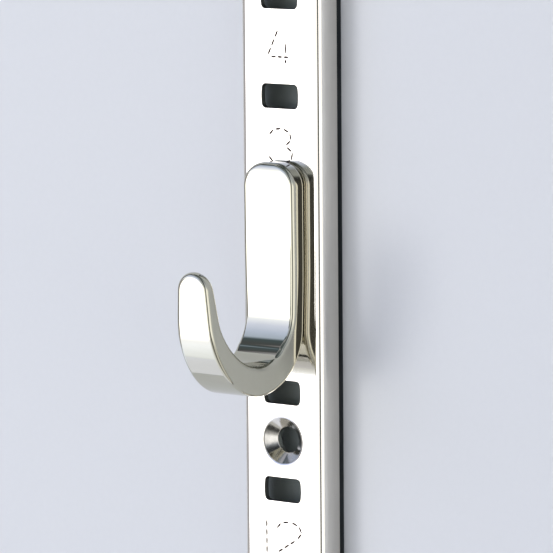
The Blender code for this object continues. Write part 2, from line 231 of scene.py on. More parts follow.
def steel(name, tone, gloss, haze, marks, stretch, bump):
    made = bpy.data.materials.new(name)
    made.use_nodes = True
    tree = made.node_tree
    shader = tree.nodes["Principled BSDF"]
    shader.inputs["Metallic"].default_value = 1.0
    place = add(tree, "ShaderNodeTexCoord")
    finish = add(tree, "ShaderNodeGroup", node_tree=steel_finish)
    finish.inputs["Tone"].default_value = (*tone, 1.0)
    finish.inputs["Gloss"].default_value = gloss
    finish.inputs["Haze"].default_value = haze
    finish.inputs["Marks"].default_value = marks
    finish.inputs["Mark Stretch"].default_value = stretch
    relief = add(tree, "ShaderNodeBump")
    relief.inputs["Strength"].default_value = bump
    relief.inputs["Distance"].default_value = 0.00002
    wire(tree, (place.outputs["Object"], finish.inputs["Place"]),
         (finish.outputs["Color"], shader.inputs["Base Color"]),
         (finish.outputs["Roughness"], shader.inputs["Roughness"]),
         (finish.outputs["Height"], relief.inputs["Height"]),
         (relief.outputs["Normal"], shader.inputs["Normal"]))
    return made


ALONG_RAIL = (1500.0, 1500.0, 60.0)
ACROSS_SHEET = (2500.0, 150.0, 2500.0)
AROUND = (1200.0, 1200.0, 1200.0)
rail_polish = steel("rail_polish", (0.775, 0.745, 0.685), 0.08, 0.03, 0.5, ALONG_RAIL, 0.10)
# The hook's tone is darker and warmer than the rail's; part of that is painted shade, the
# darker reflections along its sides taken into its colour.
hook_polish = steel("hook_polish", (0.51, 0.495, 0.405), 0.025, 0.02, 0.2,
                    (300.0, 1200.0, 1200.0), 0.03)
sheared_steel = steel("sheared_steel", (0.20, 0.20, 0.19), 0.38, 0.10, 1.0, ACROSS_SHEET, 0.5)
pressed_steel = steel("pressed_steel", (0.62, 0.60, 0.56), 0.11, 0.08, 0.8, AROUND, 0.3)
stamped_steel = steel("stamped_steel", (0.07, 0.055, 0.052), 0.55, 0.10, 0.8, AROUND, 0.3)
claw_finish = steel("claw_finish", (0.56, 0.555, 0.54), 0.26, 0.10, 1.2,
                    (150.0, 2200.0, 2200.0), 0.5)
screw_finish = steel("screw_finish", (0.42, 0.415, 0.40), 0.30, 0.10, 1.0, AROUND, 0.4)
print("materials:", len(bpy.data.materials))

# %% [markdown]
# ## The folded channel
# The rail is a strip of sheet with its two long edges folded back to the wall.
# The steps follow the sheet: three flat faces, a bevel that becomes the bend,
# then a thickness grown inwards, and last a small round on every cut edge.

# %% Fold the channel
WIDTH = rail_high.x - rail_low.x
DEPTH = rail_high.y - rail_low.y
SHEET = 1.2 * MM
BEND = 1.7 * MM                    # outside radius of the two long bends
PITCH = 20 * MM
FACE_Y = rail_low.y


def box(low, high):
    work = bmesh.new()
    bmesh.ops.create_cube(work, size=1.0)
    bmesh.ops.scale(work, vec=high - low, verts=work.verts)
    bmesh.ops.translate(work, vec=(high + low) / 2, verts=work.verts)
    return work


work = box(rail_low, rail_high)
loose = [f for f in work.faces if f.normal.y > 0.5 or abs(f.normal.z) > 0.5]
bmesh.ops.delete(work, geom=loose, context="FACES")
folds = [e for e in work.edges if all(v.co.y < FACE_Y + MM for v in e.verts)
         and abs(e.verts[0].co.z - e.verts[1].co.z) > MM]
bmesh.ops.bevel(work, geom=folds, offset=BEND, offset_type="OFFSET", segments=14,
                profile=0.5, affect="EDGES", material=-1)
rail = to_object(work, "polished_channel", rail_polish)
thicken = rail.modifiers.new("sheet", "SOLIDIFY")
thicken.thickness = SHEET
thicken.offset = -1.0
thicken.use_even_offset = True
make_real(rail)

CUT_ROUND = 0.25 * MM
work = bmesh.new()
work.from_mesh(rail.data)
clean(work)
rims = [e for e in work.edges if e.is_manifold and e.calc_face_angle() > math.radians(60)]
bmesh.ops.bevel(work, geom=rims, offset=CUT_ROUND, offset_type="OFFSET", segments=3,
                profile=0.5, affect="EDGES", material=-1)
work.to_mesh(rail.data)
work.free()
count(rail)

# %% [markdown]
# ## The slots
# A punch leaves a soft lip on the side it enters from, because it drags the
# sheet's skin in before it cuts. The slot cutter therefore flares in a small
# arc where it meets the face, and the lip needs no separate bevel. One slot is
# made from a plain rectangle: its ends are bowed, its corners rounded, and it
# is extruded in steps through the sheet. Copies stand one pitch apart.

# %% Punch the slots
SLOT_WIDTH = 9.0 * MM
SLOT_HEIGHT = 4.8 * MM
SLOT_BOW = 0.25 * MM
SLOT_CORNER = 0.9 * MM
LIP = 0.14 * MM                    # radius of the lip round each slot
FLARE = 3 * LIP                    # how far the cutter spreads in front of the face


def slot_cutter(level):
    work = bmesh.new()
    bmesh.ops.create_grid(work, x_segments=1, y_segments=1, size=0.5)
    side = SLOT_WIDTH - 2 * SLOT_BOW
    bmesh.ops.scale(work, vec=(side, SLOT_HEIGHT, 1), verts=work.verts)
    corners = work.verts[:]
    bmesh.ops.bevel(work, geom=corners, offset=SLOT_CORNER * 0.9, offset_type="OFFSET",
                    segments=5, profile=0.5, affect="VERTICES", material=-1)
    ends = [e for e in work.edges if abs(e.verts[0].co.x - e.verts[1].co.x) < 0.000001]
    bmesh.ops.subdivide_edges(work, edges=ends, cuts=6)
    for v in work.verts:
        inward = 1 - (v.co.y / (SLOT_HEIGHT / 2)) ** 2
        v.co.x += math.copysign(SLOT_BOW * inward, v.co.x)
    bmesh.ops.rotate(work, cent=(0, 0, 0), matrix=Matrix.Rotation(math.radians(90), 3, "X"),
                     verts=work.verts)
    rings = [(FLARE, -0.30 * LIP)]
    for step in range(1, 7):
        turn = math.radians(8 + (90 - 8) * (step - 1) / 5)
        rings.append((LIP - LIP * math.sin(turn), LIP - LIP * math.cos(turn)))
    rings.append((0.0, SHEET + 1.0 * MM))
    start = work.faces[:]
    place = Vector((0, FACE_Y - 0.4 * MM, level))
    size = (SLOT_WIDTH + 2 * FLARE, SLOT_HEIGHT + 2 * FLARE)
    wide, high = size[0] / SLOT_WIDTH, size[1] / SLOT_HEIGHT
    bmesh.ops.scale(work, vec=(wide, 1, high), verts=work.verts)
    bmesh.ops.translate(work, vec=place, verts=work.verts)
    for number, (spread, depth) in enumerate(rings):
        made = bmesh.ops.extrude_face_region(work, geom=start, use_keep_orig=number == 0)
        if number > 0:
            bmesh.ops.delete(work, geom=start, context="FACES_ONLY")
            inner = [e for e in work.edges if e.is_wire]
            bmesh.ops.delete(work, geom=inner, context="EDGES")
        fresh = [g for g in made["geom"] if isinstance(g, bmesh.types.BMVert)]
        start = [g for g in made["geom"] if isinstance(g, bmesh.types.BMFace)]
        aim = (SLOT_WIDTH + 2 * spread, SLOT_HEIGHT + 2 * spread)
        here = sum((v.co.y for v in fresh)) / len(fresh)
        bmesh.ops.translate(work, vec=(0, FACE_Y + depth - here, 0), verts=fresh)
        shift = Matrix.Translation((0, 0, -level))
        bmesh.ops.scale(work, vec=(aim[0] / size[0], 1, aim[1] / size[1]), verts=fresh,
                        space=shift)
        size = aim
    return work


def join(parts, name, material):
    """One object from several small bmeshes."""
    whole = bmesh.new()
    for part in parts:
        scratch = bpy.data.meshes.new("scratch")
        part.to_mesh(scratch)
        part.free()
        whole.from_mesh(scratch)
        bpy.data.meshes.remove(scratch)
    bmesh.ops.recalc_face_normals(whole, faces=whole.faces)
    return to_object(whole, name, material)


slot_count = round((rail_high.z - rail_low.z) / PITCH)
slot_levels = [rail_low.z + PITCH / 2 + i * PITCH for i in range(slot_count)]
punches = join([slot_cutter(level) for level in slot_levels], "slot_punch", sheared_steel)
count(punches)
cut(rail, punches)

# %% [markdown]
# ## The screw seats
# A round tool presses the face back into a cone, so that a screw head sits
# below the hook's path. Both sides of the dimple are turned shapes: a profile
# spun once round the hole's axis. The solid behind the sheet is joined on
# first, and the seat is then cut with a soft rim and a soft inner edge.

# %% Press the screw seats
SEAT_RIM = 4.9 * MM
SEAT_HOLE = 2.6 * MM
SEAT_DEPTH = 2.1 * MM
RIM_ROUND = 0.9 * MM
EDGE_ROUND = 0.35 * MM
SEAT_SLOPE = math.atan2(SEAT_DEPTH, SEAT_RIM - SEAT_HOLE)


def turned(profile, level, steps=72):
    """Spin (radius, depth behind the face) points round a hole's axis."""
    work = bmesh.new()
    points = [work.verts.new((radius, FACE_Y + depth, level)) for radius, depth in profile]
    edges = [work.edges.new(pair) for pair in zip(points, points[1:])]
    bmesh.ops.spin(work, geom=points + edges, cent=(0, 0, level), axis=(0, 1, 0),
                   angle=math.tau, steps=steps, use_merge=True)
    clean(work)
    return work


def arc(centre, radius, start, end, steps):
    return [(centre[0] - radius * math.sin(start + (end - start) * i / steps),
             centre[1] - radius * math.cos(start + (end - start) * i / steps))
            for i in range(steps + 1)]


rim_reach = RIM_ROUND * math.tan(SEAT_SLOPE / 2)
edge_reach = EDGE_ROUND * math.tan((math.pi / 2 - SEAT_SLOPE) / 2)
rim_arc = arc((SEAT_RIM + rim_reach, RIM_ROUND), RIM_ROUND, math.radians(6), SEAT_SLOPE, 8)
edge_arc = arc((SEAT_HOLE + EDGE_ROUND, SEAT_DEPTH + edge_reach), EDGE_ROUND,
               SEAT_SLOPE, math.pi / 2, 6)
flare = 1.5 * MM
above = (rim_arc[0][0] + flare, rim_arc[0][1] - flare * math.tan(math.radians(6)))
seat_profile = ([(0, -1.0 * MM), (above[0], -1.0 * MM), above] + rim_arc + edge_arc
                + [(SEAT_HOLE, 5 * MM), (0, 5 * MM)])
# It starts inside the sheet, then comes a cone, a rounded rim and a flat end.
dimple_profile = [(0, 1.0 * MM), (5.45 * MM, 1.0 * MM), (5.3 * MM, 1.35 * MM),
                  (3.95 * MM, 2.9 * MM), (3.85 * MM, 3.05 * MM), (3.65 * MM, 3.17 * MM),
                  (3.4 * MM, 3.2 * MM), (0, 3.2 * MM)]
seat_levels = [0.0, 13 * PITCH]
dimples = join([turned(dimple_profile, z) for z in seat_levels], "dimples", rail_polish)
cones = join([turned(seat_profile, z) for z in seat_levels], "seat_cones", pressed_steel)
cut(rail, dimples, "UNION")
cut(rail, cones)
weld(rail)
count(rail)

# %% [markdown]
# ## The numbers on the face
# The face is numbered from one screw hole to the next with thin single strokes,
# struck as rows of short dents. Each dent is a stretched ball sunk about a sixth
# of a millimetre into the steel. The dents of a stroke don't touch, and their
# centres lie a little behind the face, because a Boolean goes wrong where two
# cutters overlap or share a plane. A stroke is a straight line or part of an
# ellipse, and a small table says which strokes make each figure.

# %% Strike the numbers
DENT_LENGTH = 1.5 * MM
DENT_STEP = 1.75 * MM
DENT_WIDTH = 0.50 * MM
DENT_DEPTH = 0.14 * MM


def line(x0, z0, x1, z1):
    return lambda t: (x0 + (x1 - x0) * t, z0 + (z1 - z0) * t)


def bow(x, z, across, up, start, end):
    def at(t):
        turn = math.radians(start + (end - start) * t)
        return (x + across * math.cos(turn), z + up * math.sin(turn))
    return at


FIGURES = {
    "0": [bow(0, 0, 2.8, 3.5, 0, 360)],
    "1": [line(0, 3.5, 0, -3.5)],
    "2": [bow(0, 1.6, 2.95, 1.8, 172, -50), line(1.6, -0.2, -2.9, -3.0),
          line(-2.9, -3.5, 2.9, -3.5)],
    "3": [bow(0, 1.75, 2.6, 1.7, 170, -62), bow(0.1, -1.75, 2.85, 1.75, 64, -170)],
    "4": [line(-0.3, 3.4, -2.9, -1.9), line(-2.2, -2.1, 2.4, -2.1),
          line(1.5, 0.9, 1.5, -1.7), line(1.5, -2.5, 1.5, -3.5)],
    "5": [line(2.3, 3.5, -2.2, 3.5), line(-2.2, 3.2, -2.5, 0.5),
          bow(0, -1.3, 2.8, 2.2, 140, -150)],
    "6": [bow(0, -1.3, 2.7, 2.2, 0, 360), bow(2.2, -1.3, 4.9, 4.8, 150, 100)],
    "7": [line(-2.6, 3.5, 2.6, 3.5), line(2.5, 3.1, -0.6, -3.5)],
    "8": [bow(0, 1.95, 2.2, 1.6, 0, 360), bow(0, -1.9, 2.6, 1.6, 0, 360)],
    "9": [bow(0, 1.3, 2.7, 2.2, 0, 360), bow(-2.2, 1.3, 4.9, 4.8, -30, -80)],
}


def stroke_length(stroke, parts=40):
    stops = [Vector(stroke(i / parts)) for i in range(parts + 1)]
    return sum((b - a).length for a, b in zip(stops, stops[1:])) * MM


def dent(place, way, length):
    work = bmesh.new()
    bmesh.ops.create_uvsphere(work, u_segments=10, v_segments=6, radius=0.5)
    bmesh.ops.scale(work, vec=(DENT_WIDTH, 2 * DENT_DEPTH, length), verts=work.verts)
    lean = math.atan2(way.x, way.y)
    bmesh.ops.rotate(work, cent=(0, 0, 0), matrix=Matrix.Rotation(lean, 3, "Y"),
                     verts=work.verts)
    bmesh.ops.translate(work, vec=place, verts=work.verts)
    return work


def strike(figure, x, level):
    dents = []
    for stroke in FIGURES[figure]:
        length = stroke_length(stroke)
        number = max(1, round(length / DENT_STEP))
        share = 0.97 if figure == "1" else DENT_LENGTH / DENT_STEP
        reach = length / number * share
        for i in range(number):
            t = (i + 0.5) / number
            here = Vector(stroke(t)) * MM
            way = Vector(stroke(min(1, t + 0.02))) - Vector(stroke(max(0, t - 0.02)))
            place = Vector((x + here.x, FACE_Y + 0.02 * MM, level + here.y))
            dents.append(dent(place, way, reach))
    return dents


dents = []
for pitch_number in range(-1, slot_count):
    name = (pitch_number - 1) % 13 + 1
    level = pitch_number * PITCH
    if name == 13 or level > rail_high.z - PITCH / 2:
        continue
    figures = str(name)
    if len(figures) == 2:
        dents += strike(figures[0], -4.1 * MM, level) + strike(figures[1], 1.5 * MM, level)
    else:
        dents += strike(figures, 0.0, level)
print("dents struck:", len(dents))
numbers = join(dents, "number_punch", stamped_steel)
cut(rail, numbers)
finish_shading(rail)
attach(rail, "rail")
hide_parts("rail_channel")
count(rail)

# %% [markdown]
# ## The hook, from a flat blank
# A real hook of this kind is cut as a flat blank, its edges are rounded, and it
# is then bent. The mesh does the same. A ladder of quads is given the blank's
# changing width, grown to a thickness and bevelled all round. Then every point
# is carried onto the bent shape: its length along the blank picks a place on the
# outside curve, and its height says how far it lies towards the inside.

# %% The two curves of the bent hook
LOW_SLOT_Z = slot_levels[3]
BACK_Y = hook_high.y
TIP_Y = hook_low.y
quarter = 0.5523
lean = math.tan(math.radians(3.5))


def smooth_path(stops, steps=60):
    """Points along straight runs and curves; each stop is (place, handle in, handle out)."""
    path = []
    for (a, _, leave), (b, arrive, _) in zip(stops, stops[1:]):
        a2, b2 = Vector(a), Vector(b)
        first = Vector(leave) if leave else a2.lerp(b2, 1 / 3)
        last = Vector(arrive) if arrive else b2.lerp(a2, 1 / 3)
        part = interpolate_bezier(a2, first, last, b2, steps)
        path += [Vector((p.x, p.y)) for p in part][(1 if path else 0):]
    return path


def front_at(height):
    return 29.6 - (6.5 - height) * lean


outside = smooth_path([
    ((0, 27), None, None),
    ((0, -6.5), None, (0, -6.5 - quarter * 12.2)),
    ((13.3, -18.7), (13.3 * (1 - quarter), -18.7), (21.3, -18.7)),
    ((front_at(-2), -2), (front_at(-2) - 8.5 * lean, -10.5), None),
    ((front_at(7.5), 7.5), None, None)])
inside = smooth_path([
    ((3.3, 28.2), None, (3.75, 27.2)),
    ((4.2, 24.6), (4.2, 25.8), None),
    ((3.9, -3), None, (3.9, -3 - quarter * 9.4)),
    ((14.5, -12.4), (14.5 - quarter * 10.6, -12.4), (19.3, -12.4)),
    ((front_at(-2) - 3.5, -2), (front_at(-2) - 3.5 - 0.7, -6.6), None),
    ((front_at(7.5) - 2.0, 9.5), None, None)])

run = [0.0]
for a, b in zip(outside, outside[1:]):
    run.append(run[-1] + (b - a).length)
BLANK = run[-1]
print("length of the blank along its outside:", round(BLANK, 1), "mm")


def along(distance):
    """Place on the outside curve and the unit normal towards the inside."""
    i = max(k for k in range(len(run) - 1) if run[k] <= distance + 1e-9)
    share = (distance - run[i]) / (run[i + 1] - run[i])
    here = outside[i].lerp(outside[i + 1], share)

    def way(k):
        k0, k1 = max(0, k - 1), min(len(outside) - 1, k + 1)
        return (outside[k1] - outside[k0]).normalized()
    tangent = way(i).lerp(way(i + 1), share).normalized()
    return here, Vector((-tangent.y, tangent.x))


def thickness(here, normal):
    best = 6.0
    far = here + normal * 8
    for a, b in zip(inside, inside[1:]):
        hit = intersect_line_line_2d(here, far, a, b)
        if hit:
            best = min(best, (hit - here).length)
    return best


# %% [markdown]
# ## Bending the blank
# The blank gets its width from a few stations along its length, with a rounded
# top and tip. It is grown to a thickness, its rim is bevelled, and each point is
# then carried onto the two curves. Bending last keeps the bevel even all round.

# %% Cut, round and bend the blank
WIDTHS = [(0, 6.35), (24, 6.35), (33, 6.05), (44, 5.85), (56, 5.45), (66, 4.95), (72, 4.6),
          (76, 4.45), (BLANK, 3.6)]
TOP_CORNER = 5.0
TIP_CORNER = 3.6
EDGE = 1.05
NOMINAL = 4.0


def half_width(distance):
    for (s0, w0), (s1, w1) in zip(WIDTHS, WIDTHS[1:]):
        if distance <= s1:
            return w0 + (w1 - w0) * (distance - s0) / (s1 - s0)
    return WIDTHS[-1][1]


def soft_width(distance):
    spread = [half_width(min(max(distance + k, 0), BLANK)) for k in range(-4, 5)]
    return sum(spread) / len(spread)


rows = []
for step in range(17):
    turn = math.radians(90 * step / 16)
    rows.append((TOP_CORNER * (1 - math.cos(turn)),
                 soft_width(0) - TOP_CORNER * (1 - math.sin(turn))))
middle = 220
start, stop = TOP_CORNER, BLANK - TIP_CORNER
for step in range(1, middle):
    distance = start + (stop - start) * step / middle
    rows.append((distance, soft_width(distance)))
for step in range(17):
    turn = math.radians(90 * step / 16)
    rows.append((stop + TIP_CORNER * math.sin(turn),
                 soft_width(stop + TIP_CORNER * math.sin(turn))
                 - TIP_CORNER * (1 - math.cos(turn))))

work = bmesh.new()
bmesh.ops.create_grid(work, x_segments=1, y_segments=len(rows) - 1, size=0.5)
for v in work.verts:
    row = round((v.co.y + 0.5) * (len(rows) - 1))
    distance, half = rows[row]
    v.co = Vector((math.copysign(half, v.co.x), distance, 0))
made = bmesh.ops.extrude_face_region(work, geom=work.faces[:] + work.edges[:] + work.verts[:],
                                     use_keep_orig=True)
fresh = [g for g in made["geom"] if isinstance(g, bmesh.types.BMVert)]
bmesh.ops.translate(work, vec=(0, 0, NOMINAL), verts=fresh)
bmesh.ops.recalc_face_normals(work, faces=work.faces)
rim = [e for e in work.edges if e.is_manifold and e.calc_face_angle() > math.radians(80)]
print("rim edges", len(rim), "open", sum(not e.is_manifold for e in work.edges))
bmesh.ops.bevel(work, geom=rim, offset=EDGE, offset_type="OFFSET", segments=8, profile=0.5,
                affect="EDGES", material=-1, loop_slide=False)
for v in work.verts:
    distance = min(max(v.co.y, 0), BLANK)
    here, normal = along(distance)
    if v.co.z <= NOMINAL / 2:
        depth = v.co.z
    else:
        depth = thickness(here, normal) - (NOMINAL - v.co.z)
    place = here + normal * depth
    v.co = Vector((v.co.x * MM, BACK_Y - place.x * MM, LOW_SLOT_Z + place.y * MM))
clean(work)
hook = to_object(work, "polished_hook", hook_polish)
count(hook)

# %% [markdown]
# ## The pocket in the hook's back
# The claw plate is let into the hook, so the hook's back can lie close to the
# rail. The pocket and the two blind screw holes are cut at the places that the
# frame gives for the plate and its screws.

# %% Cut the pocket
GAP = 0.3 * MM
plate_low, plate_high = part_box("claw_plate")
pocket = box(Vector((plate_low.x - GAP, plate_low.y - GAP, LOW_SLOT_Z - 2.4 * MM)),
             Vector((plate_high.x + GAP, BACK_Y + 1 * MM, plate_high.z + GAP)))
cut(hook, to_object(pocket, "pocket", sheared_steel))
for name in ("claw_screw_lower", "claw_screw_upper"):
    screw_low, screw_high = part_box(name)
    level = (screw_low.z + screw_high.z) / 2
    reach = screw_low.y - GAP - FACE_Y
    hole = turned([(0, reach), (1.4 * MM, reach), (1.4 * MM, -0.3 * MM), (0, -0.3 * MM)],
                  level, steps=32)
    cut(hook, to_object(hole, "blind_hole", sheared_steel))
finish_shading(hook)
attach(hook, "hook")
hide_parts("hook_body")
count(hook)

# %% [markdown]
# ## The claw plate and its screws
# The claw plate is a strip with two bent tongues that drop behind the face. Its
# shape in the frame is right, so a copy of it is merged, its flat parts are made
# whole, and a small bevel takes the sharpness off every edge. The screws are
# turned afresh, with a rounded head edge and a hexagonal socket.

# %% Soften the claw plate
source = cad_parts["claw_plate"]
work = bmesh.new()
work.from_mesh(source.data)
clean(work)
bmesh.ops.dissolve_limit(work, angle_limit=math.radians(0.5), verts=work.verts,
                         edges=work.edges)
claw = to_object(work, "claw_plate_softened", claw_finish)
soften = claw.modifiers.new("soft_edges", "BEVEL")
soften.width = 0.12 * MM
soften.segments = 3
soften.limit_method = "ANGLE"
soften.angle_limit = math.radians(50)
make_real(claw)
finish_shading(claw)
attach(claw, "hook")
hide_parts("claw_plate")
count(claw)

# %% [markdown]
# ## Turning the screws
# A countersunk screw is a turned shape, so its outline is spun round its axis
# like the seats. A six-sided punch then cuts the socket into its head.

# %% Turn the screws
for name in ("claw_screw_lower", "claw_screw_upper"):
    low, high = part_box(name)
    level = (low.z + high.z) / 2
    rear = high.y - FACE_Y
    head = (high.x - low.x) / 2
    point = low.y - FACE_Y
    shank = 1.25 * MM
    profile = [(0, rear), (head - 0.12 * MM, rear), (head - 0.03 * MM, rear - 0.04 * MM),
               (head, rear - 0.12 * MM), (shank + 0.08 * MM, rear - 1.02 * MM),
               (shank, rear - 1.18 * MM), (shank, point + 0.25 * MM),
               (shank - 0.25 * MM, point), (0, point)]
    screw = to_object(turned(profile, level, steps=40), name + "_turned", screw_finish)
    socket = bmesh.new()
    bmesh.ops.create_cone(socket, cap_ends=True, segments=6, radius1=0.75 * MM,
                          radius2=0.75 * MM, depth=2 * MM)
    bmesh.ops.rotate(socket, cent=(0, 0, 0), matrix=Matrix.Rotation(math.radians(90), 3, "X"),
                     verts=socket.verts)
    bmesh.ops.translate(socket, vec=(0, high.y + 0.3 * MM, level), verts=socket.verts)
    cut(screw, to_object(socket, "socket", sheared_steel))
    finish_shading(screw)
    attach(screw, "hook")
    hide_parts(name)
    count(screw)

# %% [markdown]
# ## The room
# The rail hangs on a pale painted wall, a little off it. Two dark sheets as long as
# the rail lie on the wall behind it, and both are painted shade: one paints the
# shade in the gap along the rail's rear edge, and the paler one paints the shade
# inside the channel, which the slots look out on. They belong to the room, not to
# the rail. Wall and sheets let the camera through from behind, so the back of the
# rail can be looked at too. A pale floor lies well below.

# %% Wall and floor
def painted(name, colour, roughness):
    made = bpy.data.materials.new(name)
    made.use_nodes = True
    tree = made.node_tree
    shader = tree.nodes["Principled BSDF"]
    shader.inputs["Roughness"].default_value = roughness
    shader.inputs["Specular IOR Level"].default_value = 0.2
    place = add(tree, "ShaderNodeTexCoord")
    grain = add(tree, "ShaderNodeTexNoise")
    grain.inputs["Scale"].default_value = 900.0
    grain.inputs["Detail"].default_value = 4.0
    ramp = add(tree, "ShaderNodeValToRGB")
    ramp.color_ramp.elements[0].color = (*[c * 0.985 for c in colour], 1)
    ramp.color_ramp.elements[1].color = (*[min(1, c * 1.015) for c in colour], 1)
    wire(tree, (place.outputs["Object"], grain.inputs["Vector"]),
         (grain.outputs["Fac"], ramp.inputs["Fac"]),
         (ramp.outputs["Color"], shader.inputs["Base Color"]))
    return made, shader


def see_through_from_behind(material, shader):
    tree = material.node_tree
    back = add(tree, "ShaderNodeNewGeometry")
    path = add(tree, "ShaderNodeLightPath")
    both = math_node(tree, "MULTIPLY", back.outputs["Backfacing"],
                     path.outputs["Is Camera Ray"])
    clear = add(tree, "ShaderNodeBsdfTransparent")
    mix = add(tree, "ShaderNodeMixShader")
    output = tree.nodes["Material Output"]
    wire(tree, (both, mix.inputs["Fac"]), (shader.outputs[0], mix.inputs[1]),
         (clear.outputs[0], mix.inputs[2]), (mix.outputs[0], output.inputs["Surface"]))


def sheet_of(name, size, place, turn, material):
    work = bmesh.new()
    bmesh.ops.create_grid(work, x_segments=1, y_segments=1, size=0.5)
    bmesh.ops.scale(work, vec=(size[0], size[1], 1), verts=work.verts)
    bmesh.ops.rotate(work, cent=(0, 0, 0), matrix=Matrix.Rotation(turn, 3, "X"),
                     verts=work.verts)
    bmesh.ops.translate(work, vec=place, verts=work.verts)
    made = to_object(work, name, material)
    made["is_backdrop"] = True
    return made


WALL_Y = 1.3 * MM
RAIL_LENGTH = rail_high.z - rail_low.z
RAIL_MIDDLE = (rail_high.z + rail_low.z) / 2
FLOOR_Z = -0.55
wall_paint, wall_shader = painted("wall_paint", (0.65, 0.652, 0.65), 0.6)
see_through_from_behind(wall_paint, wall_shader)
wall = sheet_of("wall", (4.0, 3.0), (0, WALL_Y, FLOOR_Z + 1.5), math.radians(90), wall_paint)
# A dark sheet of painted shade in the gap between the rail's rear edges and the wall.
painted_gap_shade_paint, painted_gap_shade_shader = painted("painted_gap_shade_paint", (0.044, 0.05, 0.053), 0.7)
see_through_from_behind(painted_gap_shade_paint, painted_gap_shade_shader)
painted_gap_shade = sheet_of("painted_gap_shade", (WIDTH, RAIL_LENGTH), (0, WALL_Y - 0.05 * MM, RAIL_MIDDLE),
                  math.radians(90), painted_gap_shade_paint)
# A paler sheet of painted shade behind the slots: the dim inside of the channel.
painted_slot_shade_paint, painted_slot_shade_shader = painted("painted_slot_shade_paint", (0.27, 0.30, 0.29), 0.7)
see_through_from_behind(painted_slot_shade_paint, painted_slot_shade_shader)
shade = sheet_of("painted_slot_shade", (18.6 * MM, RAIL_LENGTH),
                 (-0.6 * MM, WALL_Y - 0.1 * MM, RAIL_MIDDLE),
                 math.radians(90), painted_slot_shade_paint)
floor_paint, _ = painted("floor_paint", (0.80, 0.81, 0.83), 0.5)
floor = sheet_of("floor", (4.0, 4.0), (0, WALL_Y - 2.0, FLOOR_Z), 0.0, floor_paint)
floor.visible_glossy = False
print("wall stands", round(WALL_Y / MM, 2), "mm behind the rail")

# %% [markdown]
# ## Soft light for mirror steel
# Polished steel shows the room and hardly any colour of its own, so the light is
# built as a room: a wide white wall of light in front and to the left, a paler
# one to the right, a dark gap between them, and a darker ceiling. The sky
# shader says how bright each direction is, by compass angle and by height.

# %% Tools for the light room
def set_ramp(ramp, stops):
    band = ramp.color_ramp
    while len(band.elements) > 1:
        band.elements.remove(band.elements[-1])
    band.elements[0].position = stops[0][0]
    band.elements[0].color = (*stops[0][1], 1)
    for position, colour in stops[1:]:
        band.elements.new(position).color = (*colour, 1)


LIGHT = 3.0                        # the ramps hold brightness divided by this
CORE_BRIGHTNESS = 4.0


def heights(*stops):
    return [((h + 90) / 180, tuple(c / LIGHT for c in colour)) for h, colour in stops]


def compass(*stops):
    return [((a + 180) / 360, (b, b, b)) for a, b in stops]


room = bpy.data.worlds.new("light_room")
bpy.context.scene.world = room
room.use_nodes = True
tree = room.node_tree
sky = tree.nodes["Background"]
direction = add(tree, "ShaderNodeTexCoord")
split = add(tree, "ShaderNodeSeparateXYZ")
wire(tree, (direction.outputs["Generated"], split.inputs[0]))
height = math_node(tree, "ARCSINE", split.outputs["Z"], 0.0)
height = math_node(tree, "ADD", math_node(tree, "DIVIDE", height, math.pi), 0.5)
turn = math_node(tree, "ARCTAN2", split.outputs["X"],
                 math_node(tree, "MULTIPLY", split.outputs["Y"], -1.0))
turn = math_node(tree, "ADD", math_node(tree, "DIVIDE", turn, math.tau), 0.5)


def ramp_of(source, stops):
    ramp = add(tree, "ShaderNodeValToRGB")
    set_ramp(ramp, stops)
    tree.links.new(source, ramp.inputs["Fac"])
    return ramp.outputs["Color"]


def blend(kind, factor, first, second):
    node = add(tree, "ShaderNodeMix", data_type="RGBA", blend_type=kind)
    for label, value in (("Factor", factor), ("A", first), ("B", second)):
        socket = [i for i in node.inputs if i.name == label and i.enabled][0]
        if isinstance(value, float):
            socket.default_value = value
        else:
            tree.links.new(value, socket)
    return [o for o in node.outputs if o.enabled][0]


# %% [markdown]
# ## Brightness by height and by compass
# Each pair of ramps paints one patch of the room: the first says how bright it is
# by height, the second where round the compass it counts. `rest` and `around`
# are the whole room, `skirt` is its front left side, and the low and high
# patches are pale areas further round to the left, low down and high up.

# %% Paint the room
rest = ramp_of(height, heights(
    (-90, (0.50, 0.50, 0.49)), (-30, (0.50, 0.50, 0.49)), (-20, (1.0, 1.0, 1.0)),
    (5, (1.0, 1.0, 1.0)), (18, (0.52, 0.56, 0.62)), (40, (0.33, 0.36, 0.42)),
    (60, (0.20, 0.23, 0.26)), (90, (0.08, 0.10, 0.11))))
around = ramp_of(turn, compass(
    (-180, 0.38), (-140, 0.30), (-62, 0.25), (-50, 0.30), (-20, 0.75), (20, 0.85),
    (25, 0.8), (28, 0.25), (30, 0.06), (44, 0.06), (47, 1.0), (74, 1.0), (95, 0.45),
    (110, 0.33), (180, 0.38)))
skirt = ramp_of(height, heights(
    (-90, (1.2, 1.25, 1.4)), (-62, (1.35, 1.38, 1.5)), (-50, (1.6, 1.68, 1.9)),
    (-38, (2.1, 2.2, 2.6)), (-30, (2.2, 2.2, 2.5)), (-22, (0.6, 0.6, 0.7)),
    (3, (0.6, 0.6, 0.7)), (10, (1.95, 2.05, 2.5)), (22.5, (1.38, 1.50, 2.06)),
    (37, (1.01, 1.17, 1.67)), (45.5, (0.82, 0.97, 1.34)), (48.3, (0.12, 0.17, 0.21)),
    (52.8, (0.12, 0.17, 0.21)), (54, (0.60, 0.61, 0.72)), (59, (0.60, 0.62, 0.70)),
    (62, (0.12, 0.16, 0.18)), (90, (0.10, 0.12, 0.13))))
left = ramp_of(turn, compass((-180, 0), (-76, 0), (-62, 1), (-14, 1), (6, 0)))
